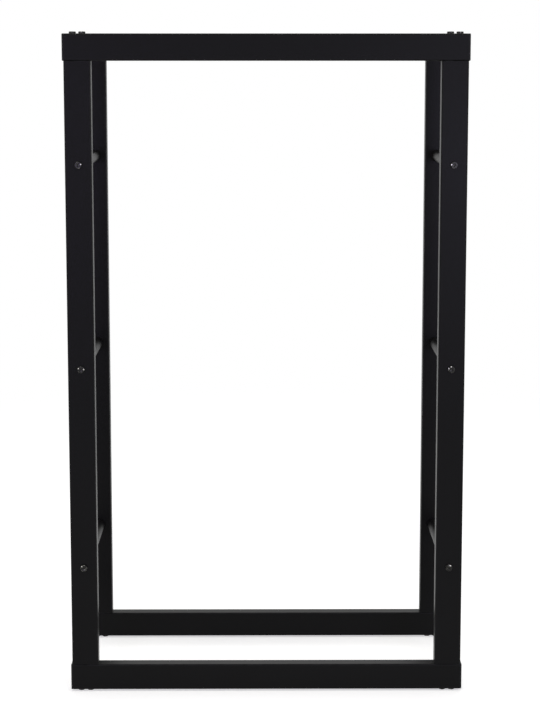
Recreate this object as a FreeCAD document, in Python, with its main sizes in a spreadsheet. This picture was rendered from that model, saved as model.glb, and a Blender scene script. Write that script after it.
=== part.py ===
import FreeCAD, Part
import math
import os

import Sketcher

# A free-standing firewood rack. Two upright frames of flat rectangular tube, one in front and one
# behind, each of two posts bolted between a top and a bottom rail, are held apart by three round
# rods on each side. The logs lie across both bottom rails, between the posts.
# X runs along the rails, Y from the front frame to the rear one, Z up. The origin is on the floor,
# under the middle of the rack, and the rack stands on the heads of its lower bolts.

# Every driving dimension in millimetres: its name, its value and what it measures.
driving_sizes = (
    ("rack_width", 600, "over the end caps of a rail"),
    ("rack_depth", 250, "over the front and the rear posts"),
    ("post_length", 920, "from the bottom rail to the top rail"),
    ("tube_face", 40, "wide side of the rail and post tube"),
    ("tube_side", 20, "narrow side of the rail and post tube"),
    ("tube_wall", 1.2, "wall of the rail and post tube"),
    ("tube_bend", 1.2, "inner corner radius of the rail and post tube"),
    ("rod_diameter", 18, "outside of a side rod"),
    ("rod_wall", 1.2, "wall of a side rod"),
    ("rod_pitch", 307, "height from one side rod to the next"),
    ("rod_nut_length", 11, "threaded slug in the end of a side rod"),
    ("nut_plate", 6, "thickness of the threaded plate in the end of a post"),
    ("weld_gap", 0.1, "gap round a welded-in slug or plate"),
    ("cap_head", 2, "thickness of an end cap outside the rail"),
    ("cap_round", 1.2, "rounding of the outer edge of an end cap"),
    ("cap_wall", 1.6, "wall of the hollow insert of an end cap"),
    ("cap_rib", 1, "thickness of a rib round the insert"),
    ("cap_rib_rise", 0.5, "height of a rib over the insert"),
    ("cap_play", 0.1, "gap round the ribs inside the rail"),
    ("cap_bolt_gap", 2, "from the insert to the nearest bolt"),
    ("bolt_diameter", 6, "thread of every bolt"),
    ("bolt_end", 4, "end of a bolt that comes out of its nut"),
    ("hole_play", 0.3, "gap round a bolt in the tubes"),
    ("thread_play", 0.05, "gap round a bolt in its nut"),
    ("head_diameter", 10.5, "low head of a bolt, over its straight rim"),
    ("head_height", 3, "low head of a bolt"),
    ("head_round", 1, "rounding between the rim and the flat top of a head"),
    ("head_gap", 3.5, "between the two bolt heads of a corner"),
    ("socket_width", 4, "hexagon socket of a bolt, across the flats"),
    ("socket_depth", 2, "hexagon socket of a bolt"),
)

# Sizes worked out from the driving dimensions.
inner_face = "(Sizes.tube_face - 2 * Sizes.tube_wall)"
inner_side = "(Sizes.tube_side - 2 * Sizes.tube_wall)"
outer_bend = "(Sizes.tube_bend + Sizes.tube_wall)"
rail_length = "(Sizes.rack_width - 2 * Sizes.cap_head)"
rod_length = "(Sizes.rack_depth - 2 * Sizes.tube_side)"
rod_bore = "(Sizes.rod_diameter - 2 * Sizes.rod_wall)"
bolt_spacing = "(Sizes.head_diameter + Sizes.head_gap)"
hole_diameter = "(Sizes.bolt_diameter + 2 * Sizes.hole_play)"
thread_diameter = "(Sizes.bolt_diameter + 2 * Sizes.thread_play)"
frame_bolt_length = "(Sizes.tube_face + Sizes.nut_plate + Sizes.bolt_end)"
rod_bolt_length = "(Sizes.tube_side + Sizes.rod_nut_length + Sizes.bolt_end)"
cap_insert = f"((Sizes.tube_face - {bolt_spacing} - Sizes.bolt_diameter) / 2 - Sizes.cap_bolt_gap)"
cap_corner = "(Sizes.tube_bend - Sizes.cap_play)"
head_shoulder = "min(Sizes.head_round; 0.8 * Sizes.head_height)"

# Places worked out from the driving dimensions.
rail_end = f"({rail_length} / 2)"
post_x = f"({rail_end} - Sizes.tube_face / 2)"
frame_y = "(Sizes.rack_depth / 2 - Sizes.tube_side / 2)"
post_bottom = "(Sizes.head_height + Sizes.tube_face)"
post_top = f"({post_bottom} + Sizes.post_length)"
post_middle = f"({post_bottom} + Sizes.post_length / 2)"
rack_top = f"({post_top} + Sizes.tube_face)"

sides = {"left": -1, "right": 1}
frames = {"front": -1, "rear": 1}
rail_levels = {
    "bottom": f"({post_bottom} - Sizes.tube_face / 2)",
    "top": f"({post_top} + Sizes.tube_face / 2)",
}
rod_levels = {"lower": -1, "middle": 0, "upper": 1}

upright = FreeCAD.Rotation()
upside_down = FreeCAD.Rotation(FreeCAD.Vector(1, 0, 0), 180)
to_right = FreeCAD.Rotation(FreeCAD.Vector(0, 1, 0), 90)
to_left = FreeCAD.Rotation(FreeCAD.Vector(0, 1, 0), -90)
to_front = FreeCAD.Rotation(FreeCAD.Vector(1, 0, 0), 90)
to_rear = FreeCAD.Rotation(FreeCAD.Vector(1, 0, 0), -90)

doc = FreeCAD.newDocument("firewood_rack")
sub_parts = []


def make_sheet():
    sheet = doc.addObject("Spreadsheet::Sheet", "Sizes")
    for row, (name, value, meaning) in enumerate(driving_sizes, start=1):
        sheet.set(f"A{row}", meaning)
        sheet.set(f"B{row}", str(value))
        sheet.setAlias(f"B{row}", name)
    doc.recompute()
    return sheet


def size(expression):
    return float(sheet.evalExpression(expression))


def make_body(label):
    body = doc.addObject("PartDesign::Body", label)
    body.Label = label
    return body


def place(part, x, y, z, turn):
    part.Placement = FreeCAD.Placement(FreeCAD.Vector(), turn)
    for axis, expression in zip("xyz", (x, y, z)):
        part.setExpression(f"Placement.Base.{axis}", expression)


def add_sketch(body, name, role, height="0"):
    sketch = body.newObject("Sketcher::SketchObject", name)
    plane = next(item for item in body.Origin.OriginFeatures if item.Role == role)
    sketch.AttachmentSupport = (plane, [""])
    sketch.MapMode = "FlatFace"
    sketch.setExpression("AttachmentOffset.Base.z", height)
    return sketch


def drive(sketch, constraint, name, expression):
    index = sketch.addConstraint(constraint)
    sketch.renameConstraint(index, name)
    sketch.setExpression(f"Constraints.{name}", expression)


def point(x, y):
    return FreeCAD.Vector(x, y, 0)


# A rectangle with round corners about the sketch's origin: four sides joined by tangent arcs.
def draw_round_rectangle(sketch, name, width, height, radius):
    half_width = size(width) / 2
    half_height = size(height) / 2
    corner = size(radius)
    in_x = half_width - corner
    in_y = half_height - corner
    lines = (
        (point(-in_x, -half_height), point(in_x, -half_height)),
        (point(half_width, -in_y), point(half_width, in_y)),
        (point(in_x, half_height), point(-in_x, half_height)),
        (point(-half_width, in_y), point(-half_width, -in_y)),
    )
    centres = (point(in_x, -in_y), point(in_x, in_y), point(-in_x, in_y), point(-in_x, -in_y))
    edges = []
    arcs = []
    for turn, (line, centre) in enumerate(zip(lines, centres)):
        start = (turn - 1) * math.pi / 2
        circle = Part.Circle(centre, FreeCAD.Vector(0, 0, 1), corner)
        edges.append(sketch.addGeometry(Part.LineSegment(*line), False))
        arcs.append(sketch.addGeometry(Part.ArcOfCircle(circle, start, start + math.pi / 2), False))
    for turn in range(4):
        sketch.addConstraint(Sketcher.Constraint("Tangent", edges[turn], 2, arcs[turn], 1))
        sketch.addConstraint(Sketcher.Constraint("Tangent", arcs[turn], 2, edges[(turn + 1) % 4], 1))
    for turn in range(3):
        sketch.addConstraint(Sketcher.Constraint("Equal", arcs[turn], arcs[turn + 1]))
    for turn in (0, 2):
        sketch.addConstraint(Sketcher.Constraint("Horizontal", edges[turn]))
        sketch.addConstraint(Sketcher.Constraint("Vertical", edges[turn + 1]))
    sketch.addConstraint(Sketcher.Constraint("Symmetric", arcs[0], 3, arcs[2], 3, -1, 1))
    across = Sketcher.Constraint("DistanceX", edges[3], 1, edges[1], 1, 2 * half_width)
    upward = Sketcher.Constraint("DistanceY", edges[0], 1, edges[2], 1, 2 * half_height)
    drive(sketch, across, f"{name}Width", width)
    drive(sketch, upward, f"{name}Height", height)
    drive(sketch, Sketcher.Constraint("Radius", arcs[0], corner), f"{name}Corner", radius)


def draw_circle(sketch, name, diameter, centre):
    circle = Part.Circle(centre, FreeCAD.Vector(0, 0, 1), size(diameter) / 2)
    index = sketch.addGeometry(circle, False)
    drive(sketch, Sketcher.Constraint("Diameter", index, size(diameter)), f"{name}Diameter", diameter)
    return index


def draw_ring(sketch, outside, inside):
    for name, diameter in (("Outside", outside), ("Inside", inside)):
        circle = draw_circle(sketch, name, diameter, point(0, 0))
        sketch.addConstraint(Sketcher.Constraint("Coincident", circle, 3, -1, 1))


# A hexagon about the sketch's origin with two flats level, its corners on a construction circle.
def draw_hexagon(sketch, width):
    radius = size(width) / 2 / math.cos(math.pi / 6)
    corners = []
    for k in range(6):
        turn = math.pi * k / 3
        corners.append(point(radius * math.cos(turn), radius * math.sin(turn)))
    ring = sketch.addGeometry(Part.Circle(point(0, 0), FreeCAD.Vector(0, 0, 1), radius), True)
    sketch.addConstraint(Sketcher.Constraint("Coincident", ring, 3, -1, 1))
    flats = []
    for k in range(6):
        flats.append(sketch.addGeometry(Part.LineSegment(corners[k], corners[(k + 1) % 6]), False))
    for k in range(6):
        sketch.addConstraint(Sketcher.Constraint("Coincident", flats[k], 2, flats[(k + 1) % 6], 1))
        sketch.addConstraint(Sketcher.Constraint("PointOnObject", flats[k], 1, ring))
    for k in range(5):
        sketch.addConstraint(Sketcher.Constraint("Equal", flats[k], flats[k + 1]))
    sketch.addConstraint(Sketcher.Constraint("Horizontal", flats[1]))
    across = Sketcher.Constraint("DistanceY", flats[4], 1, flats[1], 1, size(width))
    drive(sketch, across, "AcrossFlats", width)


def add_pad(body, sketch, length, midplane=False, reverse=False):
    pad = body.newObject("PartDesign::Pad", "Pad")
    pad.Profile = sketch
    pad.Midplane = midplane
    pad.Reversed = reverse
    pad.setExpression("Length", length)
    sketch.Visibility = False
    return pad


def add_pocket(body, sketch, depth, midplane=False, reverse=False):
    pocket = body.newObject("PartDesign::Pocket", "Pocket")
    pocket.Profile = sketch
    pocket.Midplane = midplane
    pocket.Reversed = reverse
    pocket.setExpression("Length", depth)
    return pocket


def add_pattern(body, feature, sketch, length, count, reverse=False):
    pattern = body.newObject("PartDesign::LinearPattern", "LinearPattern")
    pattern.Originals = [feature]
    pattern.Direction = (sketch, ["V_Axis"])
    pattern.Reversed = reverse
    pattern.setExpression("Length", length)
    pattern.Occurrences = count
    body.Tip = pattern
    return pattern


# Rectangular tube along the body's Z axis, its wide side along X, its middle at the origin.
def make_tube(label, length):
    body = make_body(label)
    section = add_sketch(body, "Section", "XY_Plane")
    draw_round_rectangle(section, "Outer", "Sizes.tube_face", "Sizes.tube_side", outer_bend)
    draw_round_rectangle(section, "Inner", inner_face, inner_side, "Sizes.tube_bend")
    add_pad(body, section, length, midplane=True)
    return body


# A rail is tube laid on edge, with the holes of both corners' bolts through its height.
def make_rail(label):
    body = make_tube(label, rail_length)
    holes = add_sketch(body, "BoltHoles", "YZ_Plane")
    for name, step in (("InnerBolt", -1), ("OuterBolt", 1)):
        distance = f"({post_x} + {step} * {bolt_spacing} / 2)"
        circle = draw_circle(holes, name, hole_diameter, point(0, size(distance)))
        holes.addConstraint(Sketcher.Constraint("PointOnObject", circle, 3, -2))
        upward = Sketcher.Constraint("DistanceY", -1, 1, circle, 3, size(distance))
        drive(holes, upward, f"{name}Distance", distance)
    pocket = add_pocket(body, holes, "2 * Sizes.tube_face", midplane=True)
    mirror = body.newObject("PartDesign::Mirrored", "OtherEnd")
    mirror.Originals = [pocket]
    mirror.MirrorPlane = (holes, ["H_Axis"])
    body.Tip = mirror
    return body


# A post is upright tube, with a hole through its depth at each rod.
def make_post(label):
    body = make_tube(label, "Sizes.post_length")
    hole = add_sketch(body, "RodHole", "XZ_Plane")
    circle = draw_circle(hole, "RodBolt", hole_diameter, point(0, -size("Sizes.rod_pitch")))
    hole.addConstraint(Sketcher.Constraint("PointOnObject", circle, 3, -2))
    upward = Sketcher.Constraint("DistanceY", circle, 3, -1, 1, size("Sizes.rod_pitch"))
    drive(hole, upward, "RodBelow", "Sizes.rod_pitch")
    pocket = add_pocket(body, hole, "2 * Sizes.tube_side", midplane=True)
    add_pattern(body, pocket, hole, "2 * Sizes.rod_pitch", len(rod_levels))
    return body


# Round stock with a bore along the body's Z axis, its middle at the origin.
def make_round(label, outside, inside, length):
    body = make_body(label)
    section = add_sketch(body, "Section", "XY_Plane")
    draw_ring(section, outside, inside)
    add_pad(body, section, length, midplane=True)
    return body


# The plate in a post's end fills the tube and takes both bolts of the corner.
def make_nut_plate(label):
    body = make_body(label)
    section = add_sketch(body, "Section", "XY_Plane")
    face = f"({inner_face} - 2 * Sizes.weld_gap)"
    side = f"({inner_side} - 2 * Sizes.weld_gap)"
    draw_round_rectangle(section, "Plate", face, side, "(Sizes.tube_bend - Sizes.weld_gap)")
    threads = []
    for name, step in (("Left", -1), ("Right", 1)):
        centre = point(step * size(bolt_spacing) / 2, 0)
        threads.append(draw_circle(section, name, thread_diameter, centre))
    section.addConstraint(Sketcher.Constraint("Symmetric", threads[0], 3, threads[1], 3, -1, 1))
    section.addConstraint(Sketcher.Constraint("PointOnObject", threads[0], 3, -1))
    across = Sketcher.Constraint("DistanceX", threads[0], 3, threads[1], 3, size(bolt_spacing))
    drive(section, across, "Spacing", bolt_spacing)
    add_pad(body, section, "Sizes.nut_plate", midplane=True)
    return body


# An end cap has a rounded head on the rail's end and a hollow, ribbed insert inside the rail.
def make_end_cap(label):
    body = make_body(label)
    outline = add_sketch(body, "Head", "XY_Plane")
    draw_round_rectangle(outline, "Head", "Sizes.tube_face", "Sizes.tube_side", outer_bend)
    head = add_pad(body, outline, "Sizes.cap_head")
    doc.recompute()
    rim = []
    for index, edge in enumerate(head.Shape.Edges, start=1):
        if min(vertex.Z for vertex in edge.Vertexes) > size("Sizes.cap_head") / 2:
            rim.append(f"Edge{index}")
    rounding = body.newObject("PartDesign::Fillet", "Rounding")
    rounding.Base = (head, rim)
    rounding.setExpression("Radius", f"min(Sizes.cap_round; 0.8 * Sizes.cap_head; 0.8 * {outer_bend})")

    rib_face = f"({inner_face} - 2 * Sizes.cap_play)"
    rib_side = f"({inner_side} - 2 * Sizes.cap_play)"
    insert = add_sketch(body, "Insert", "XY_Plane")
    insert_face = f"({rib_face} - 2 * Sizes.cap_rib_rise)"
    insert_side = f"({rib_side} - 2 * Sizes.cap_rib_rise)"
    draw_round_rectangle(insert, "Insert", insert_face, insert_side, cap_corner)
    add_pad(body, insert, cap_insert, reverse=True)

    ribs = add_sketch(body, "Rib", "XY_Plane", f"-{cap_insert} / 3")
    draw_round_rectangle(ribs, "Rib", rib_face, rib_side, cap_corner)
    rib = add_pad(body, ribs, "Sizes.cap_rib", reverse=True)
    second = body.newObject("PartDesign::LinearPattern", "SecondRib")
    second.Originals = [rib]
    second.Direction = (ribs, ["N_Axis"])
    second.Reversed = True
    second.setExpression("Length", f"{cap_insert} / 3")
    second.Occurrences = 2

    hollow = add_sketch(body, "Hollow", "XY_Plane")
    hollow_face = f"({insert_face} - 2 * Sizes.cap_wall)"
    hollow_side = f"({insert_side} - 2 * Sizes.cap_wall)"
    draw_round_rectangle(hollow, "Hollow", hollow_face, hollow_side, cap_corner)
    body.Tip = add_pocket(body, hollow, cap_insert)
    return body


# A low-headed bolt along the body's Z axis: the seat of its head at the origin, its head upward.
def make_bolt(label, length):
    body = make_body(label)
    profile = add_sketch(body, "Profile", "XZ_Plane")
    shank = size("Sizes.bolt_diameter") / 2
    rim = size("Sizes.head_diameter") / 2
    top = size("Sizes.head_height")
    rounding = size(head_shoulder)
    end = -size(length)
    corners = (
        point(rim - rounding, top), point(0, top), point(0, end), point(shank, end),
        point(shank, 0), point(rim, 0), point(rim, top - rounding),
    )
    sides_of_profile = []
    for start, finish in zip(corners, corners[1:]):
        sides_of_profile.append(profile.addGeometry(Part.LineSegment(start, finish), False))
    circle = Part.Circle(point(rim - rounding, top - rounding), FreeCAD.Vector(0, 0, 1), rounding)
    edge = profile.addGeometry(Part.ArcOfCircle(circle, 0, math.pi / 2), False)
    flat_line, axis_line, end_line, shank_line, seat_line, rim_line = sides_of_profile
    for first, second in zip(sides_of_profile, sides_of_profile[1:]):
        profile.addConstraint(Sketcher.Constraint("Coincident", first, 2, second, 1))
    profile.addConstraint(Sketcher.Constraint("Tangent", rim_line, 2, edge, 1))
    profile.addConstraint(Sketcher.Constraint("Tangent", edge, 2, flat_line, 1))
    for level in (flat_line, end_line, seat_line):
        profile.addConstraint(Sketcher.Constraint("Horizontal", level))
    for upright_line in (shank_line, rim_line):
        profile.addConstraint(Sketcher.Constraint("Vertical", upright_line))
    profile.addConstraint(Sketcher.Constraint("PointOnObject", axis_line, 1, -2))
    profile.addConstraint(Sketcher.Constraint("PointOnObject", axis_line, 2, -2))
    profile.addConstraint(Sketcher.Constraint("PointOnObject", seat_line, 1, -1))
    lengths = (
        ("DistanceY", shank_line, 1, shank_line, 2, "Length", length),
        ("DistanceY", -1, 1, axis_line, 1, "HeadHeight", "Sizes.head_height"),
        ("DistanceX", -1, 1, seat_line, 1, "ShankRadius", "Sizes.bolt_diameter / 2"),
        ("DistanceX", -1, 1, seat_line, 2, "RimRadius", "Sizes.head_diameter / 2"),
    )
    for kind, first, first_end, second, second_end, name, expression in lengths:
        constraint = Sketcher.Constraint(kind, first, first_end, second, second_end, size(expression))
        drive(profile, constraint, name, expression)
    drive(profile, Sketcher.Constraint("Radius", edge, rounding), "HeadRound", head_shoulder)
    turned = body.newObject("PartDesign::Revolution", "Turned")
    turned.Profile = profile
    turned.ReferenceAxis = (profile, ["V_Axis"])
    turned.Angle = 360
    socket = add_sketch(body, "Socket", "XY_Plane", "Sizes.head_height")
    draw_hexagon(socket, "Sizes.socket_width")
    add_pocket(body, socket, "Sizes.socket_depth")
    return body


def make_group(label, members):
    group = doc.addObject("Part::Compound", label)
    group.Label = label
    group.Links = members
    return group


def add_rails():
    for frame, frame_sign in frames.items():
        for level, height in rail_levels.items():
            rail = make_rail(f"{frame}_{level}_rail")
            place(rail, "0", f"{frame_sign} * {frame_y}", height, to_right)
            sub_parts.append(rail)
            for side, side_sign in sides.items():
                cap = make_end_cap(f"{frame}_{level}_rail_{side}_end_cap")
                turn = to_right if side == "right" else to_left
                place(cap, f"{side_sign} * {rail_end}", f"{frame_sign} * {frame_y}", height, turn)
                sub_parts.append(cap)


def add_posts():
    plate_heights = {
        "bottom": f"{post_bottom} + Sizes.nut_plate / 2",
        "top": f"{post_top} - Sizes.nut_plate / 2",
    }
    for frame, frame_sign in frames.items():
        for side, side_sign in sides.items():
            x = f"{side_sign} * {post_x}"
            y = f"{frame_sign} * {frame_y}"
            post = make_post(f"{frame}_{side}_post")
            place(post, x, y, post_middle, upright)
            sub_parts.append(post)
            for level, height in plate_heights.items():
                plate = make_nut_plate(f"{frame}_{side}_post_{level}_nut_plate")
                place(plate, x, y, height, upright)
                sub_parts.append(plate)


def rod_height(step):
    return f"{post_middle} + {step} * Sizes.rod_pitch"


def add_rods():
    nut_y = f"({rod_length} / 2 - Sizes.rod_nut_length / 2)"
    for side, side_sign in sides.items():
        x = f"{side_sign} * {post_x}"
        for level, step in rod_levels.items():
            rod = make_round(f"{side}_{level}_rod", "Sizes.rod_diameter", rod_bore, rod_length)
            place(rod, x, "0", rod_height(step), to_front)
            sub_parts.append(rod)
            for frame, frame_sign in frames.items():
                nut_diameter = f"({rod_bore} - 2 * Sizes.weld_gap)"
                label = f"{side}_{level}_rod_{frame}_nut"
                nut = make_round(label, nut_diameter, thread_diameter, "Sizes.rod_nut_length")
                place(nut, x, f"{frame_sign} * {nut_y}", rod_height(step), to_front)
                sub_parts.append(nut)


# The two bolts of each corner go through the rail into the plate in the post's end.
def add_frame_bolts():
    seats = {"bottom": ("Sizes.head_height", upside_down), "top": (rack_top, upright)}
    for frame, frame_sign in frames.items():
        for level, (seat, turn) in seats.items():
            bolts = []
            for side, side_sign in sides.items():
                for place_name, step in (("inner", -1), ("outer", 1)):
                    bolt = make_bolt(f"{frame}_{level}_{side}_{place_name}_bolt", frame_bolt_length)
                    x = f"{side_sign} * ({post_x} + {step} * {bolt_spacing} / 2)"
                    place(bolt, x, f"{frame_sign} * {frame_y}", seat, turn)
                    bolts.append(bolt)
            sub_parts.append(make_group(f"{frame}_{level}_rail_bolts", bolts))


# A bolt through the post at each rod goes into the slug in the rod's end.
def add_rod_bolts():
    turns = {"front": to_front, "rear": to_rear}
    for frame, frame_sign in frames.items():
        for side, side_sign in sides.items():
            bolts = []
            for level, step in rod_levels.items():
                bolt = make_bolt(f"{frame}_{side}_{level}_rod_bolt", rod_bolt_length)
                y = f"{frame_sign} * Sizes.rack_depth / 2"
                place(bolt, f"{side_sign} * {post_x}", y, rod_height(step), turns[frame])
                bolts.append(bolt)
            sub_parts.append(make_group(f"{frame}_{side}_post_bolts", bolts))


def check_document():
    doc.recompute()
    for item in doc.Objects:
        if {"Invalid", "Error"} & set(item.State):
            raise RuntimeError(f"{item.Label} did not build: {item.State}")
    for part in sub_parts:
        if part.Shape.isNull() or not part.Shape.isValid():
            raise RuntimeError(f"{part.Label} has no valid shape")


sheet = make_sheet()
add_rails()
add_posts()
add_rods()
add_frame_bolts()
add_rod_bolts()
check_document()
os.makedirs("parts", exist_ok=True)
for part in sub_parts:
    part.Shape.exportStep(f"parts/{part.Label}.step")
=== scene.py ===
import math

import bmesh
import bpy
from mathutils import Matrix, Vector


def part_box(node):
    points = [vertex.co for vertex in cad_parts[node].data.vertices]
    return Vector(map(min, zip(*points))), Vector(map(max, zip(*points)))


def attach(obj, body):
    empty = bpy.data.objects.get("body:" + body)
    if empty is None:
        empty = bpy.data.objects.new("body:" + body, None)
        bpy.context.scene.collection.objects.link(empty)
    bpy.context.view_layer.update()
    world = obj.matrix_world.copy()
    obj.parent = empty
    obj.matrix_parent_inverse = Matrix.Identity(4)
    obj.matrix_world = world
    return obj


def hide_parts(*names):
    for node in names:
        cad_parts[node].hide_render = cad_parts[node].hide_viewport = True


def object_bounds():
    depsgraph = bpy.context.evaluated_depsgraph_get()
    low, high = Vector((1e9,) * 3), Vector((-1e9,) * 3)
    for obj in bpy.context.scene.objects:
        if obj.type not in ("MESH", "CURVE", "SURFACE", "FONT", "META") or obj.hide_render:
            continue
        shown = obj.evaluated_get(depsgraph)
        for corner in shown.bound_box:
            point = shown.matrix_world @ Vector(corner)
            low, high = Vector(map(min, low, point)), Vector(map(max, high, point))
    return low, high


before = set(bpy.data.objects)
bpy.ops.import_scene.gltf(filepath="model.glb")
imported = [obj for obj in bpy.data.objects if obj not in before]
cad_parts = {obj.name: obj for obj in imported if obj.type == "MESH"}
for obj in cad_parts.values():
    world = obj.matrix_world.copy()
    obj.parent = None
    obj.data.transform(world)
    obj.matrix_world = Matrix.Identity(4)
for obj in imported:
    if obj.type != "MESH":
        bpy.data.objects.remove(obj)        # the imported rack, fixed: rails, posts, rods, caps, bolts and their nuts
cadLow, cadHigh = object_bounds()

# A black powder-coated firewood rack: two bolted frames of flat tube, held apart by six round rods.
# Metres, X along the rails, Y from the front frame to the rear one, Z up from the floor.
scene = bpy.context.scene
scene.view_settings.view_transform = "Standard"
print("frame:", len(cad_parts), "nodes, top at", round(cadHigh.z, 4))

frameNames = ("front", "rear")
sideNames = ("left", "right")
railLevels = ("bottom", "top")
rodLevels = ("lower", "middle", "upper")


def middleOf(node):
    low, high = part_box(node)
    return (low + high) / 2


def sizeOf(node):
    low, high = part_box(node)
    return high - low


# Shader helpers: the place of a node is where it stands in the node editor.
def addNode(tree, kind, place, **settings):
    node = tree.nodes.new(kind)
    node.location = place
    for name, value in settings.items():
        setattr(node, name, value)
    return node


def setInputs(node, values):
    for name, value in values.items():
        node.inputs[name].default_value = value


def fillSocket(tree, socket, value):
    if isinstance(value, bpy.types.NodeSocket):
        tree.links.new(value, socket)
    else:
        socket.default_value = value


def addMath(tree, operation, first, second, place, clamp=False):
    node = addNode(tree, "ShaderNodeMath", place, operation=operation, use_clamp=clamp)
    fillSocket(tree, node.inputs[0], first)
    fillSocket(tree, node.inputs[1], second)
    return node.outputs["Value"]


def addRange(tree, value, fromRange, toRange, place, smooth=False):
    node = addNode(tree, "ShaderNodeMapRange", place)
    node.interpolation_type = "SMOOTHSTEP" if smooth else "LINEAR"
    tree.links.new(value, node.inputs["Value"])
    names = ("From Min", "From Max", "To Min", "To Max")
    setInputs(node, dict(zip(names, (*fromRange, *toRange))))
    return node.outputs["Result"]


def objectSpot(tree, place):
    return addNode(tree, "ShaderNodeTexCoord", place).outputs["Object"]


def addNoise(tree, spot, scale, place, detail):
    node = addNode(tree, "ShaderNodeTexNoise", place)
    tree.links.new(spot, node.inputs["Vector"])
    tree.links.new(scale, node.inputs["Scale"])
    node.inputs["Detail"].default_value = detail
    return node.outputs["Fac"]


def addMix(tree, share, first, second, place):
    node = addNode(tree, "ShaderNodeMix", place, data_type="RGBA")
    colours = [socket for socket in node.inputs if socket.type == "RGBA"]
    tree.links.new(share, node.inputs["Factor"])
    fillSocket(tree, colours[0], first)
    fillSocket(tree, colours[1], second)
    return next(socket for socket in node.outputs if socket.type == "RGBA")


def newGroup(name, inputs, output):
    group = bpy.data.node_groups.new(name, "ShaderNodeTree")
    for label, value in inputs.items():
        socket = group.interface.new_socket(label, in_out="INPUT", socket_type="NodeSocketFloat")
        socket.default_value = value
    group.interface.new_socket(output, in_out="OUTPUT", socket_type="NodeSocketFloat")
    given = addNode(group, "NodeGroupInput", (-900, 0)).outputs
    result = addNode(group, "NodeGroupOutput", (600, 0)).inputs[output]
    return group, given, result


def useGroup(tree, group, values, place):
    node = addNode(tree, "ShaderNodeGroup", place, node_tree=group)
    setInputs(node, values)
    return node.outputs[0]


# Orange peel: shallow dimples of the baked powder with a finer grain in them
def makeOrangePeel():
    inputs = {"Dimple Scale": 900, "Grain Scale": 3200, "Grain Share": 0.3}
    group, given, result = newGroup("orangePeel", inputs, "Height")
    spot = objectSpot(group, (-900, -300))
    dimples = addNoise(group, spot, given["Dimple Scale"], (-600, 200), detail=1.0)
    grain = addNoise(group, spot, given["Grain Scale"], (-600, -100), detail=2.0)
    grain = addMath(group, "MULTIPLY", grain, given["Grain Share"], (-300, -100))
    height = addMath(group, "ADD", dimples, grain, (0, 0))
    group.links.new(height, result)
    return group


# Tone drift: slow unevenness of a coat from patch to patch, with some finer mottle
def makeToneDrift():
    inputs = {"Patch Scale": 7, "Mottle Scale": 160, "Mottle Share": 0.35}
    noiseMiddle = 0.5
    group, given, result = newGroup("toneDrift", inputs, "Drift")
    spot = objectSpot(group, (-900, -300))
    patch = addNoise(group, spot, given["Patch Scale"], (-600, 200), detail=2.0)
    mottle = addNoise(group, spot, given["Mottle Scale"], (-600, -100), detail=3.0)
    mottle = addMath(group, "SUBTRACT", mottle, noiseMiddle, (-450, -100))
    mottle = addMath(group, "MULTIPLY", mottle, given["Mottle Share"], (-300, -100))
    drift = addMath(group, "ADD", patch, mottle, (0, 0), clamp=True)
    group.links.new(drift, result)
    return group


# Edge rub: where handling has polished an edge, from the weight that each mesh keeps along its edges.
# A weight up to 1 is rubbed in patches, and what it has above 1 is bare whatever the patches are: bare metal where a
# key slipped, and on the rod bolts painted glints.
def makeEdgeRub():
    inputs = {"Amount": 0.5, "Break Scale": 60, "Break Level": 0.4}
    breakSharpness = 6.0
    group, given, result = newGroup("edgeRub", inputs, "Rub")
    edge = addNode(group, "ShaderNodeAttribute", (-900, -300), attribute_name="rub").outputs["Fac"]
    spot = objectSpot(group, (-900, -500))
    breaks = addNoise(group, spot, given["Break Scale"], (-600, -300), detail=4.0)
    breaks = addMath(group, "SUBTRACT", breaks, given["Break Level"], (-450, -300))
    breaks = addMath(group, "MULTIPLY", breaks, breakSharpness, (-300, -300), clamp=True)
    rub = addMath(group, "MULTIPLY", edge, breaks, (-100, 0))
    rub = addMath(group, "MULTIPLY", rub, given["Amount"], (100, 0))
    bare = addMath(group, "SUBTRACT", edge, 1.0, (-100, -200), clamp=True)
    rub = addMath(group, "ADD", rub, bare, (300, 0), clamp=True)
    group.links.new(rub, result)
    return group


# Settled dust: a thin veil on faces that look up
def makeSettledDust():
    inputs = {"Amount": 0.3, "Speck Scale": 240}
    upward = (0.75, 1.0)            # upward share of the normal, from no dust to the full veil
    speckNoise = (0.42, 0.72)
    speckCover = (0.2, 1.0)
    group, given, result = newGroup("settledDust", inputs, "Dust")
    normal = addNode(group, "ShaderNodeNewGeometry", (-900, -300)).outputs["Normal"]
    facing = addNode(group, "ShaderNodeSeparateXYZ", (-700, -300))
    group.links.new(normal, facing.inputs["Vector"])
    spot = objectSpot(group, (-900, -600))
    specks = addNoise(group, spot, given["Speck Scale"], (-600, -600), detail=5.0)
    specks = addRange(group, specks, speckNoise, speckCover, (-400, -600))
    level = addRange(group, facing.outputs["Z"], upward, (0.0, 1.0), (-400, -300), smooth=True)
    dust = addMath(group, "MULTIPLY", level, specks, (-100, -300))
    dust = addMath(group, "MULTIPLY", dust, given["Amount"], (100, -300), clamp=True)
    group.links.new(dust, result)
    return group


orangePeel = makeOrangePeel()
toneDrift = makeToneDrift()
edgeRub = makeEdgeRub()
settledDust = makeSettledDust()
print("shader groups:", len(bpy.data.node_groups))

driftRange = (0.25, 0.75)       # the drift that a coat's roughness follows


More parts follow.
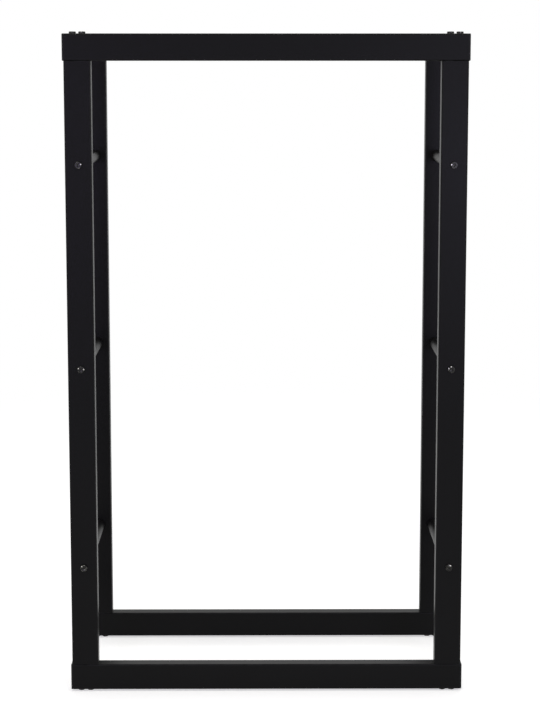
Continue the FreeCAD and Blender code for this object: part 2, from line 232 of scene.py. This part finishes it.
# A finish is a Principled shader whose colour, roughness and bump come from the groups above.
def makeFinish(name, look):
    material = bpy.data.materials.new(name)
    material.use_nodes = True
    tree = material.node_tree
    shader = tree.nodes["Principled BSDF"]
    setInputs(shader, {"Metallic": look["metallic"], "Specular IOR Level": look["specular"]})
    drift = useGroup(tree, toneDrift, look["drift"], (-1200, 300))
    rub = useGroup(tree, edgeRub, look["rub"], (-1200, 100))
    dust = useGroup(tree, settledDust, look["dust"], (-1200, -100))
    height = useGroup(tree, orangePeel, look["peel"], (-1200, -300))
    colour = addMix(tree, drift, look["dark"], look["light"], (-800, 300))
    colour = addMix(tree, rub, colour, look["rubColour"], (-600, 200))
    colour = addMix(tree, dust, colour, look["dustColour"], (-400, 100))
    tree.links.new(colour, shader.inputs["Base Color"])
    polish = addMath(tree, "MULTIPLY", rub, look["rubPolish"], (-600, -100))
    dulling = addMath(tree, "MULTIPLY", dust, look["dustDull"], (-600, -250))
    rough = addRange(tree, drift, driftRange, look["roughness"], (-800, 0))
    rough = addMath(tree, "SUBTRACT", rough, polish, (-400, -100))
    rough = addMath(tree, "ADD", rough, dulling, (-200, -100))
    tree.links.new(rough, shader.inputs["Roughness"])
    bump = addNode(tree, "ShaderNodeBump", (-400, -350))
    setInputs(bump, {"Strength": look["bumpStrength"], "Distance": look["bumpDepth"]})
    tree.links.new(height, bump.inputs["Height"])
    tree.links.new(bump.outputs["Normal"], shader.inputs["Normal"])
    return material


powderCoat = makeFinish("powderCoat", {     # matt black polyester powder on the tubes and rods
    "dark": (0.0030, 0.0030, 0.0030, 1), "light": (0.0044, 0.0044, 0.0044, 1),
    "metallic": 0.0, "specular": 0.08, "roughness": (0.34, 0.40),
    "drift": {"Patch Scale": 7, "Mottle Scale": 160, "Mottle Share": 0.35},
    "rub": {"Amount": 0.25, "Break Scale": 70, "Break Level": 0.42},
    "rubColour": (0.022, 0.022, 0.024, 1), "rubPolish": 0.10,
    "dust": {"Amount": 0.05, "Speck Scale": 260},
    "dustColour": (0.11, 0.105, 0.10, 1), "dustDull": 0.3,
    "peel": {"Dimple Scale": 900, "Grain Scale": 3200, "Grain Share": 0.35},
    "bumpStrength": 0.6, "bumpDepth": 0.00012,
})
capPlastic = makeFinish("capPlastic", {     # moulded polyethylene with a fine spark-eroded grain
    "dark": (0.0060, 0.0060, 0.0064, 1), "light": (0.0085, 0.0085, 0.0090, 1),
    "metallic": 0.0, "specular": 0.20, "roughness": (0.46, 0.54),
    "drift": {"Patch Scale": 40, "Mottle Scale": 500, "Mottle Share": 0.5},
    "rub": {"Amount": 0.35, "Break Scale": 180, "Break Level": 0.42},
    "rubColour": (0.030, 0.030, 0.031, 1), "rubPolish": 0.12,
    "dust": {"Amount": 0.06, "Speck Scale": 400},
    "dustColour": (0.12, 0.115, 0.11, 1), "dustDull": 0.25,
    "peel": {"Dimple Scale": 2200, "Grain Scale": 6000, "Grain Share": 0.6},
    "bumpStrength": 0.35, "bumpDepth": 0.00005,
})
boltBlack = makeFinish("boltBlack", {       # blackened steel, bright where the black has come off; the bright patches on the head's rounding are partly wear and partly painted glints
    "dark": (0.014, 0.014, 0.013, 1), "light": (0.026, 0.026, 0.024, 1),
    "metallic": 0.85, "specular": 0.25, "roughness": (0.22, 0.32),
    "drift": {"Patch Scale": 120, "Mottle Scale": 900, "Mottle Share": 0.6},
    "rub": {"Amount": 0.5, "Break Scale": 260, "Break Level": 0.54},
    "rubColour": (0.60, 0.59, 0.54, 1), "rubPolish": 0.06,
    "dust": {"Amount": 0.05, "Speck Scale": 500},
    "dustColour": (0.12, 0.115, 0.11, 1), "dustDull": 0.3,
    "peel": {"Dimple Scale": 2600, "Grain Scale": 8000, "Grain Share": 0.5},
    "bumpStrength": 0.2, "bumpDepth": 0.00003,
})
bareSteel = makeFinish("bareSteel", {       # uncoated mild steel of the plates and slugs inside the tubes
    "dark": (0.30, 0.29, 0.28, 1), "light": (0.46, 0.45, 0.44, 1),
    "metallic": 1.0, "specular": 0.5, "roughness": (0.34, 0.52),
    "drift": {"Patch Scale": 90, "Mottle Scale": 700, "Mottle Share": 0.7},
    "rub": {"Amount": 0.3, "Break Scale": 300, "Break Level": 0.42},
    "rubColour": (0.60, 0.59, 0.58, 1), "rubPolish": 0.1,
    "dust": {"Amount": 0.1, "Speck Scale": 400},
    "dustColour": (0.20, 0.17, 0.14, 1), "dustDull": 0.2,
    "peel": {"Dimple Scale": 1400, "Grain Scale": 5200, "Grain Share": 0.6},
    "bumpStrength": 0.3, "bumpDepth": 0.00004,
})
print("finishes done")


# Mesh helpers: an outline is a list of (x, y, rub), and a loop is an outline at one height.
def roundOutline(width, height, radius, steps):
    outline = []
    corners = ((1, -1), (1, 1), (-1, 1), (-1, -1))
    for turn, (signX, signY) in enumerate(corners):
        for step in range(steps + 1):
            angle = math.pi / 2 * (turn - 1 + step / steps)
            x = signX * (width / 2 - radius) + radius * math.cos(angle)
            y = signY * (height / 2 - radius) + radius * math.sin(angle)
            outline.append((x, y, math.sin(math.pi * step / steps)))
    return outline


def circleOutline(radius, count):
    turns = [2 * math.pi * k / count for k in range(count)]
    return [(radius * math.cos(turn), radius * math.sin(turn), 0.0) for turn in turns]


def newMesh():
    bm = bmesh.new()
    bm.verts.layers.float.new("rub")
    return bm


def addLoop(bm, outline, height, rub, place):
    weights = bm.verts.layers.float["rub"]
    loop = []
    for x, y, corner in outline:
        vert = bm.verts.new(place @ Vector((x, y, height)))
        vert[weights] = max(rub, corner)
        loop.append(vert)
    return loop


# Round loops, one for each ring of (radius, height, rub)
def addRings(bm, rings, count, place):
    return [addLoop(bm, circleOutline(radius, count), height, rub, place) for radius, height, rub in rings]


def skinLoops(bm, loops, closed=False):
    pairs = list(zip(loops, loops[1:]))
    if closed:
        pairs.append((loops[-1], loops[0]))
    for lower, upper in pairs:
        count = len(lower)
        for k in range(count):
            nextK = (k + 1) % count
            bm.faces.new((lower[k], lower[nextK], upper[nextK], upper[k]))


# The quarter round of an edge, as steps of (inset, drop) from the end face to the side
def roundedEnd(radius, steps):
    quarter = [math.pi / 2 * step / steps for step in range(steps + 1)]
    return [(radius * (1 - math.sin(turn)), radius * (1 - math.cos(turn))) for turn in quarter]


# The outside of a tube as rings of (inset, height, rub), rounded and rubbed at both ends
def tubeRings(length, tube):
    end = roundedEnd(tube["endRound"], tube["endSteps"])
    rings = [(inset, length / 2 - drop, 1.0) for inset, drop in end]
    rings.append((0, length / 2 - tube["rubReach"], 0.0))
    return [(inset, -height, rub) for inset, height, rub in rings] + rings[::-1]


def makeObject(name, bm):
    bmesh.ops.recalc_face_normals(bm, faces=bm.faces)
    mesh = bpy.data.meshes.new(name)
    bm.to_mesh(mesh)
    bm.free()
    thing = bpy.data.objects.new(name, mesh)
    scene.collection.objects.link(thing)
    return thing


sharpAngle = math.radians(40)       # faces that meet at more than this keep a hard edge


def finishPiece(name, bm, material, node, drill=None):
    piece = makeObject(name, bm)
    if drill:
        drillPiece(piece, drill)
    piece.data.name = name
    piece.data.materials.append(material)
    piece.data.shade_smooth()
    piece.data.set_sharp_from_angle(angle=sharpAngle)
    normals = piece.modifiers.new("faceNormals", "WEIGHTED_NORMAL")
    normals.keep_sharp = True
    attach(piece, "root")
    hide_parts(node)


boltHole = {"width": 0.0066, "segments": 32, "pairSpacing": 0.014}     # two bolts hold a corner


# Bolt holes, cut through a tube where its bolts go
def drillPiece(piece, drill):
    bm = newMesh()
    for place, depth in drill:
        radius = boltHole["width"] / 2
        ends = addRings(bm, [(radius, -depth, 0.0), (radius, depth, 0.0)], boltHole["segments"], place)
        skinLoops(bm, ends)
        bm.faces.new(ends[0])
        bm.faces.new(ends[1])
    cutter = makeObject("drill", bm)
    cutterMesh = cutter.data
    cut = piece.modifiers.new("boltHoles", "BOOLEAN")
    cut.operation = "DIFFERENCE"
    cut.solver = "EXACT"
    cut.object = cutter
    bpy.context.view_layer.update()
    drilled = piece.evaluated_get(bpy.context.evaluated_depsgraph_get())
    mesh = bpy.data.meshes.new_from_object(drilled)
    piece.modifiers.clear()
    piece.data = mesh
    bpy.data.objects.remove(cutter)
    bpy.data.meshes.remove(cutterMesh)


# Axes of a piece: its local Z runs along the named direction.
alongX = Matrix.Rotation(math.pi / 2, 4, "Y")
alongY = Matrix.Rotation(-math.pi / 2, 4, "X")
alongZ = Matrix.Identity(4)

flatTube = {"wall": 0.0012, "bend": 0.0024, "innerBend": 0.0012, "cornerSteps": 8,
            "endRound": 0.0003, "endSteps": 3, "rubReach": 0.0012}


def buildFlatTube(node, turn, face, side, length, drill):
    bm = newMesh()
    place = Matrix.Translation(middleOf(node)) @ turn
    steps = flatTube["cornerSteps"]
    wall = flatTube["wall"]
    loops = []
    for inset, height, rub in tubeRings(length, flatTube):
        outline = roundOutline(face - 2 * inset, side - 2 * inset, flatTube["bend"] - inset, steps)
        loops.append(addLoop(bm, outline, height, rub, place))
    bore = roundOutline(face - 2 * wall, side - 2 * wall, flatTube["innerBend"], steps)
    for height in (length / 2, -length / 2):
        loops.append(addLoop(bm, bore, height, 0.0, place))
    skinLoops(bm, loops, closed=True)
    finishPiece(f"coated_{node}", bm, powderCoat, node, drill)


# The two bolts of a corner stand side by side over the post's middle.
def boltSpots(frameName, sideName):
    x = middleOf(f"{frameName}_{sideName}_post").x
    step = boltHole["pairSpacing"] / 2
    return (x - step, x + step)


# Rails: on edge, drilled top to bottom for the two bolts of each corner
for frameName in frameNames:
    for level in railLevels:
        node = f"{frameName}_{level}_rail"
        size = sizeOf(node)
        middle = middleOf(node)
        holes = []
        for sideName in sideNames:
            for x in boltSpots(frameName, sideName):
                holes.append((Matrix.Translation((x, middle.y, middle.z)), size.z))
        buildFlatTube(node, alongX, size.z, size.y, size.x, holes)
print("rails done")

# Posts: upright, drilled front to back for the bolt of each rod
for frameName in frameNames:
    for sideName in sideNames:
        node = f"{frameName}_{sideName}_post"
        size = sizeOf(node)
        middle = middleOf(node)
        holes = []
        for level in rodLevels:
            spot = Vector((middle.x, middle.y, middleOf(f"{sideName}_{level}_rod").z))
            holes.append((Matrix.Translation(spot) @ alongY, size.y))
        buildFlatTube(node, alongZ, size.x, size.y, size.z, holes)
print("posts done")

sideRod = {"wall": 0.0012, "segments": 64, "endRound": 0.0005, "endSteps": 3, "rubReach": 0.0015}


def buildRod(node):
    bm = newMesh()
    place = Matrix.Translation(middleOf(node)) @ alongY
    size = sizeOf(node)
    radius = size.z / 2
    bore = radius - sideRod["wall"]
    rings = [(radius - inset, height, rub) for inset, height, rub in tubeRings(size.y, sideRod)]
    rings += [(bore, size.y / 2, 0.0), (bore, -size.y / 2, 0.0)]
    skinLoops(bm, addRings(bm, rings, sideRod["segments"], place), closed=True)
    finishPiece(f"coated_{node}", bm, powderCoat, node)


for sideName in sideNames:
    for level in rodLevels:
        buildRod(f"{sideName}_{level}_rod")
print("rods done")

endCap = {"head": 0.0020, "faceRound": 0.0012, "faceSteps": 6, "seatRound": 0.0002, "seatSteps": 2,
          "wall": 0.0016, "insertBend": 0.0011, "play": 0.0001,
          "ribCount": 2, "rib": 0.0010, "ribRise": 0.0005}


# The rings of an end cap as (inset, corner radius, height, rub), from the bottom of its hollow to its face
def capRings(insert):
    ribInset = flatTube["wall"] + endCap["play"]
    stemInset = ribInset + endCap["ribRise"]
    hollowInset = stemInset + endCap["wall"]
    bend = endCap["insertBend"]
    rings = [(hollowInset, bend, 0.0, 0.0), (hollowInset, bend, -insert, 0.0)]
    rings.append((stemInset, bend, -insert, 0.0))
    for rib in range(endCap["ribCount"], 0, -1):
        ribFront = -insert * rib / (endCap["ribCount"] + 1)
        ribBack = ribFront - endCap["rib"]
        rings += [(stemInset, bend, ribBack, 0.0), (ribInset, bend, ribBack, 0.0)]
        rings += [(ribInset, bend, ribFront, 0.0), (stemInset, bend, ribFront, 0.0)]
    rings.append((stemInset, bend, 0.0, 0.0))
    for inset, rise in roundedEnd(endCap["seatRound"], endCap["seatSteps"]):
        rings.append((inset, flatTube["bend"] - inset, rise, 0.0))
    for inset, drop in roundedEnd(endCap["faceRound"], endCap["faceSteps"])[::-1]:
        rub = 1.0 - abs(2 * inset / endCap["faceRound"] - 1)        # most in the middle of the rounding
        rings.append((inset, flatTube["bend"] - inset, endCap["head"] - drop, rub))
    return rings


def buildEndCap(node, outward):
    bm = newMesh()
    low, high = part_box(node)
    size = high - low
    middle = (low + high) / 2
    seat = high.x - endCap["head"] if outward > 0 else low.x + endCap["head"]
    turn = Matrix.Rotation(outward * math.pi / 2, 4, "Y")
    place = Matrix.Translation((seat, middle.y, middle.z)) @ turn
    loops = []
    for inset, radius, height, rub in capRings(size.x - endCap["head"]):
        outline = roundOutline(size.z - 2 * inset, size.y - 2 * inset, radius, flatTube["cornerSteps"])
        outline = [(x, y, 0.0) for x, y, corner in outline]     # the corners of a cap aren't rubbed
        loops.append(addLoop(bm, outline, height, rub, place))
    skinLoops(bm, loops)
    bm.faces.new(loops[0])
    bm.faces.new(loops[-1])
    finishPiece(f"moulded_{node}", bm, capPlastic, node)


for frameName in frameNames:
    for level in railLevels:
        for sideName, outward in zip(sideNames, (-1, 1)):
            buildEndCap(f"{frameName}_{level}_rail_{sideName}_end_cap", outward)
print("end caps done")

lowBolt = {"headWidth": 0.0105, "headHeight": 0.0030, "headRound": 0.0010, "headSteps": 8, "headCount": 48,
           "rimRound": 0.0002, "rimSteps": 2, "rubFade": 0.0002, "flatRings": (0.8, 0.2),
           "socketWidth": 0.0040, "socketDepth": 0.0020, "socketLead": 0.00018, "leadRub": 0.8,
           "leadRubDepth": 0.00072, "drillWidth": 0.00336, "drillPoint": 0.0005,
           "wearGlintRing": 0.0043, "wearGlintReach": 0.00125,
           "shank": 0.0060, "root": 0.0049, "pitch": 0.0010, "threadSteps": 4, "shankCount": 24,
           "neck": 0.024, "shortBolt": 0.040, "shortNeck": 0.15, "tip": 0.0045, "tipChamfer": 0.0008}


def hexOutline(width, count):
    outline = []
    for k in range(count):
        turn = 2 * math.pi * k / count
        reach = width / 2 / math.cos(turn % (math.pi / 3) - math.pi / 6)
        outline.append((reach * math.cos(turn), reach * math.sin(turn), 0.0))
    return outline


# The rings of a head from its seat to the mouth of its socket
def headRings():
    rim = lowBolt["headWidth"] / 2
    top = lowBolt["headHeight"]
    rounding = lowBolt["headRound"]
    seatEdge = roundedEnd(lowBolt["rimRound"], lowBolt["rimSteps"])
    rings = [(rim - inset, rise, 0.0) for inset, rise in seatEdge]
    rings.append((rim, top - rounding - lowBolt["rubFade"], 0.0))
    for inset, drop in roundedEnd(rounding, lowBolt["headSteps"])[::-1]:
        rub = math.sin(math.pi * inset / rounding)      # worn most in the middle of the rounding, where the rubbed patches are partly wear and partly painted glints
        rings.append((rim - inset, top - drop, rub))
    flat = rim - rounding
    mouth = lowBolt["socketWidth"] / 2 / math.cos(math.pi / 6) + lowBolt["socketLead"]
    for share in lowBolt["flatRings"]:                  # they keep the wear of both edges off the flat
        rings.append((mouth + (flat - mouth) * share, top, 0.0))
    rings.append((mouth, top, 1.0))
    return rings


# Bare spots on the shoulder of the head: on the rail bolts where the key slipped and took the black off, on the rod
# bolts painted glints, bright metal put where highlights fall
def addWearAndGlintSpots(bm, loops, place, turns):
    weights = bm.verts.layers.float["rub"]
    toBolt = place.inverted()
    for turn in turns:
        centre = Vector((math.cos(turn), math.sin(turn))) * lowBolt["wearGlintRing"]
        for loop in loops:
            for vert in loop:
                away = ((toBolt @ vert.co).xy - centre).length / lowBolt["wearGlintReach"]
                if away < 1:
                    vert[weights] = max(vert[weights], 1 + (1 - away * away))


# Shank with a plain neck and a rolled thread: each ring's radius follows the helix round the shank
def addShank(bm, place, length):
    count = lowBolt["shankCount"]
    neck = length * lowBolt["shortNeck"] if length < lowBolt["shortBolt"] else lowBolt["neck"]
    outside = lowBolt["shank"] / 2
    groove = outside - lowBolt["root"] / 2
    step = lowBolt["pitch"] / lowBolt["threadSteps"]
    loops = addRings(bm, [(outside, 0.0, 0.0), (outside, -neck, 0.0)], count, place)
    total = int((length - neck - lowBolt["tipChamfer"]) / step)
    for ring in range(1, total + 1):
        depth = neck + ring * step
        fade = min(1.0, ring / lowBolt["threadSteps"])
        outline = []
        for k in range(count):
            phase = (depth / lowBolt["pitch"] + k / count) % 1.0
            ridge = abs(2 * phase - 1)
            radius = outside - groove * (1 - ridge) * fade
            turn = 2 * math.pi * k / count
            outline.append((radius * math.cos(turn), radius * math.sin(turn), 0.0))
        loops.append(addLoop(bm, outline, -depth, 0.0, place))
    loops += addRings(bm, [(lowBolt["tip"] / 2, -length, 0.0)], count, place)
    skinLoops(bm, loops)
    bm.faces.new(loops[-1])
    return loops[0]


def addBolt(bm, place, length, wearAndGlintTurns):
    count = lowBolt["headCount"]
    top = lowBolt["headHeight"]
    floor = top - lowBolt["socketDepth"]
    loops = addRings(bm, headRings(), count, place)
    seat = loops[0]
    shoulder = loops[lowBolt["rimSteps"] + 1:]
    addWearAndGlintSpots(bm, shoulder, place, wearAndGlintTurns)
    hexagon = hexOutline(lowBolt["socketWidth"], count)
    loops.append(addLoop(bm, hexagon, top - lowBolt["socketLead"], lowBolt["leadRub"], place))
    loops.append(addLoop(bm, hexagon, top - lowBolt["leadRubDepth"], 0.0, place))
    loops.append(addLoop(bm, hexagon, floor, 0.0, place))
    loops += addRings(bm, [(lowBolt["drillWidth"] / 2, floor, 0.0)], count, place)
    skinLoops(bm, loops)
    drillRim = loops[-1]
    point = bm.verts.new(place @ Vector((0, 0, floor - lowBolt["drillPoint"])))
    for k in range(count):
        bm.faces.new((drillRim[k], drillRim[(k + 1) % count], point))
    neckRing = addShank(bm, place, length)
    fold = count // len(neckRing)       # points of the seat for each point of the neck
    for k, vert in enumerate(neckRing):
        nextVert = neckRing[(k + 1) % len(neckRing)]
        arc = [seat[(k * fold + j) % count] for j in range(fold + 1)]
        bm.faces.new((nextVert, vert, *arc))


headUp = Matrix.Identity(4)
headDown = Matrix.Rotation(math.pi, 4, "X")
headFront = Matrix.Rotation(math.pi / 2, 4, "X")
headRear = Matrix.Rotation(-math.pi / 2, 4, "X")
boltTwist = math.radians(23)        # each bolt was tightened to its own angle
railSlip = 7                        # a rail bolt's bare spot stands at this many twists
rodPaintedGlints = {                        # painted glints: degrees round the heads of the rod bolts where a bright bare spot stands in for a highlight, from the lower bolt up
    "left": ((135,), (152, 8), (18,)),
    "right": ((55,), (160, 100), (172,)),
}


def buildBolts(node, spots, turn, length, paintedGlints=None):
    bm = newMesh()
    for order, spot in enumerate(spots):
        twist = boltTwist * (order + len(node))     # the length of a node's name sets its first angle
        if paintedGlints:
            # the rod bolts' bare spots are painted glints, bright metal put where highlights fall
            wearAndGlintTurns = [math.radians(angle) - twist for angle in paintedGlints[order]]
        else:
            wearAndGlintTurns = [railSlip * twist]
        place = Matrix.Translation(spot) @ turn @ Matrix.Rotation(twist, 4, "Z")
        addBolt(bm, place, length, wearAndGlintTurns)
    finishPiece(f"turned_{node}", bm, boltBlack, node)


for frameName in frameNames:
    for level, turn in zip(railLevels, (headDown, headUp)):
        node = f"{frameName}_{level}_rail_bolts"
        railLow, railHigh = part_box(f"{frameName}_{level}_rail")
        seat = railHigh.z if level == "top" else railLow.z
        y = (railLow.y + railHigh.y) / 2
        spots = [Vector((x, y, seat)) for sideName in sideNames for x in boltSpots(frameName, sideName)]
        buildBolts(node, spots, turn, sizeOf(node).z - lowBolt["headHeight"])
    for sideName in sideNames:
        node = f"{frameName}_{sideName}_post_bolts"
        postLow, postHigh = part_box(f"{frameName}_{sideName}_post")
        seat = postLow.y if frameName == "front" else postHigh.y
        turn = headFront if frameName == "front" else headRear
        rods = [middleOf(f"{sideName}_{level}_rod") for level in rodLevels]
        spots = [Vector((rod.x, seat, rod.z)) for rod in rods]
        buildBolts(node, spots, turn, sizeOf(node).y - lowBolt["headHeight"], rodPaintedGlints[sideName])
print("bolts done")

# The plates and slugs inside the tubes keep their CAD shape.
for name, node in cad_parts.items():
    if name.endswith(("_nut_plate", "_nut")):
        node.data.materials.clear()
        node.data.materials.append(bareSteel)
print("inner steel done")


# What the camera sees, directly or in gloss or glass
def seenRays(tree, place):
    x, y = place
    path = addNode(tree, "ShaderNodeLightPath", place).outputs
    seen = addMath(tree, "MAXIMUM", path["Is Camera Ray"], path["Is Glossy Ray"], (x + 200, y))
    return addMath(tree, "MAXIMUM", seen, path["Is Transmission Ray"], (x + 400, y))


# Floor: white, lifted where it is seen so that it meets the background, with the rack's shadow left in it
paleFloor = {"rings": (0.9, 2.4, 7.0), "segments": 64, "colour": (0.80, 0.80, 0.80, 1), "roughness": 0.9,
             "lift": 0.50, "fade": (0.8, 2.2)}


def makeFloorFinish():
    material = bpy.data.materials.new("paleFloor")
    material.use_nodes = True
    tree = material.node_tree
    shader = tree.nodes["Principled BSDF"]
    setInputs(shader, {"Base Color": paleFloor["colour"], "Roughness": paleFloor["roughness"]})
    setInputs(shader, {"Specular IOR Level": 0.0})
    reach = addNode(tree, "ShaderNodeVectorMath", (-1000, 300), operation="LENGTH")
    tree.links.new(objectSpot(tree, (-1200, 300)), reach.inputs[0])
    fade = addRange(tree, reach.outputs["Value"], paleFloor["fade"], (0, 1), (-800, 300), smooth=True)
    seen = seenRays(tree, (-1200, 0))
    lift = addNode(tree, "ShaderNodeEmission", (-200, -200))
    white = addNode(tree, "ShaderNodeEmission", (0, -400))
    strength = addMath(tree, "MULTIPLY", seen, paleFloor["lift"], (-400, -200))
    tree.links.new(strength, lift.inputs["Strength"])
    tree.links.new(seen, white.inputs["Strength"])
    lifted = addNode(tree, "ShaderNodeAddShader", (200, 0))
    tree.links.new(shader.outputs["BSDF"], lifted.inputs[0])
    tree.links.new(lift.outputs["Emission"], lifted.inputs[1])
    mixed = addNode(tree, "ShaderNodeMixShader", (400, 0))
    tree.links.new(addMath(tree, "MULTIPLY", fade, seen, (-400, 200)), mixed.inputs["Fac"])
    tree.links.new(lifted.outputs["Shader"], mixed.inputs[1])
    tree.links.new(white.outputs["Emission"], mixed.inputs[2])
    tree.links.new(mixed.outputs["Shader"], tree.nodes["Material Output"].inputs["Surface"])
    return material


def buildFloor():
    bm = newMesh()
    rings = [(radius, 0.0, 0.0) for radius in paleFloor["rings"]]
    loops = addRings(bm, rings, paleFloor["segments"], Matrix.Identity(4))
    skinLoops(bm, loops)
    bm.faces.new(loops[0])
    floor = makeObject("paleFloor", bm)
    floor.data.materials.append(makeFloorFinish())


buildFloor()

# White room: what the camera and the gloss see is plain white, what lights the rack is softer.
whiteRoom = {"seen": 1.0, "light": 0.5}


def makeRoom():
    world = bpy.data.worlds.new("whiteRoom")
    world.use_nodes = True
    scene.world = world
    tree = world.node_tree
    sky = tree.nodes["Background"]
    setInputs(sky, {"Color": (1, 1, 1, 1)})
    strengths = (whiteRoom["light"], whiteRoom["seen"])
    strength = addRange(tree, seenRays(tree, (-900, 0)), (0, 1), strengths, (-200, 0))
    tree.links.new(strength, sky.inputs["Strength"])


makeRoom()

# Soft boxes: the two in front stand lower than the top rails, so that their violet stays off the rail tops.
softBoxes = {
    "topBox": {"place": (-0.15, -0.8, 2.4), "size": (1.6, 1.0), "power": 8, "colour": (1.0, 0.98, 0.88)},
    "frontLeftBox": {"place": (-0.9, -2.7, 0.72), "size": (0.7, 0.5), "power": 7.8,
                     "colour": (0.62, 0.50, 1.0)},
    "frontRightBox": {"place": (0.9, -2.7, 0.72), "size": (0.7, 0.5), "power": 11.9,
                      "colour": (0.71, 0.66, 1.0)},
    "leftBox": {"place": (-1.9, -1.5, 1.3), "size": (0.9, 1.5), "power": 8, "colour": (1.0, 0.97, 0.86)},
    "rightBox": {"place": (1.9, -1.3, 1.4), "size": (0.9, 1.5), "power": 8, "colour": (1.0, 0.98, 0.90)},
    "backBox": {"place": (0.3, 1.9, 1.9), "size": (1.4, 1.0), "power": 14, "colour": (1.0, 1.0, 1.0)},
}
rackMiddle = (cadLow + cadHigh) / 2
for name, box in softBoxes.items():
    lamp = bpy.data.lights.new(name, "AREA")
    lamp.shape = "RECTANGLE"
    lamp.size, lamp.size_y = box["size"]
    lamp.energy = box["power"]
    lamp.color = box["colour"]
    holder = bpy.data.objects.new(name, lamp)
    holder.location = box["place"]
    holder.rotation_euler = (rackMiddle - holder.location).to_track_quat("-Z", "Y").to_euler()
    scene.collection.objects.link(holder)
print("floor, room and soft boxes done")

# Camera: at the height of the top rails, looking slightly down at the front of the rack
viewCamera = {"place": (-0.0052, -2.4854, 0.9650), "pitch": 0.1199, "yaw": -0.0045,
              "sensor": 36, "lens": 79.90, "shift": -0.15}
cameraData = bpy.data.cameras.new("viewCamera")
cameraData.sensor_width = viewCamera["sensor"]
cameraData.lens = viewCamera["lens"]
cameraData.shift_y = viewCamera["shift"]
camera = bpy.data.objects.new("viewCamera", cameraData)
camera.location = viewCamera["place"]
camera.rotation_euler = (math.pi / 2 - viewCamera["pitch"], 0, viewCamera["yaw"])
scene.collection.objects.link(camera)
scene.camera = camera
